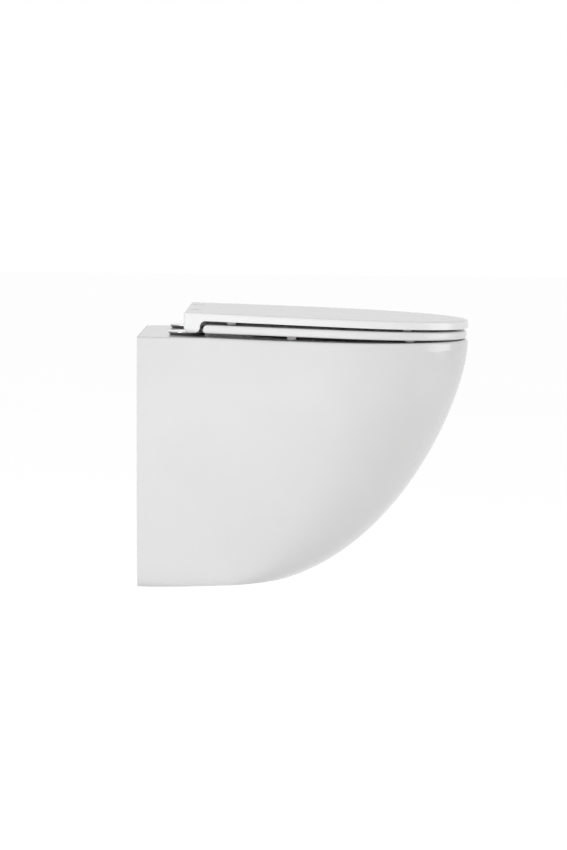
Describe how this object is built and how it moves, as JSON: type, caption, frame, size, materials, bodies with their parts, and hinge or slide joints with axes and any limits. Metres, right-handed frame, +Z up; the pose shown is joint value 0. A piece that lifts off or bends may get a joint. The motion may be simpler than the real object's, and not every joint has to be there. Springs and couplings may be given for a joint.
{
  "type": "wall hung toilet",
  "caption": "Compact wall hung toilet with a fully skirted ceramic pan, a soft close seat and lid on a shared hinge line, and its wall fixings.",
  "frame": {"origin": "midway between the two wall studs, on the wall face that the pan is bolted against", "axes": "+X along the wall, +Y into the wall, +Z up; the pan stands out along -Y"},
  "size_m": [0.3562, 0.5, 0.4204],
  "materials": {
    "glazed_ceramic": "gloss glaze",
    "seat_white": "gloss",
    "lid_white": "gloss",
    "hinge_white": "satin",
    "hinge_chrome": "polished",
    "pin_steel": "ground",
    "stud_steel": "zinc plated",
    "brass": "turned",
    "bumper_pale": "matt, translucent",
    "black_rubber": "matt",
    "damper_grey": "matt",
    "bush_white": "matt",
    "fixing_plastic": "matt",
    "zinc_steel": "zinc plated"
  },
  "bodies": {
    "pan": {"ceramic_pan": "glazed_ceramic", "wall_sleeves": "fixing_plastic", "wall_washers": "zinc_steel", "wall_nuts": "zinc_steel", "nut_caps": "fixing_plastic", "hinge_gaskets": "black_rubber", "hinge_disc_left": "hinge_chrome", "hinge_disc_right": "hinge_chrome", "hinge_studs": "stud_steel", "expansion_plugs": "black_rubber", "sleeve_nuts": "brass", "hinge_post_left": "hinge_white", "hinge_post_right": "hinge_white", "hinge_pin_left": "pin_steel", "hinge_pin_right": "pin_steel"},
    "seat": {"seat_ring": "seat_white", "seat_bushes": "bush_white", "seat_damper": "damper_grey", "seat_bumpers": "bumper_pale"},
    "lid": {"lid": "lid_white", "lid_bushes": "bush_white", "lid_damper": "damper_grey", "lid_bumpers": "bumper_pale"}
  },
  "joints": [
    {"name": "seat_hinge", "type": "hinge", "parent": "pan", "child": "seat", "pos_m": [0, -0.081, 0.1], "axis": [-1, 0, 0], "range_deg": [0, 92]},
    {"name": "lid_hinge", "type": "hinge", "parent": "seat", "child": "lid", "pos_m": [0, -0.081, 0.1], "axis": [-1, 0, 0], "range_deg": [0, 92]}
  ]
}
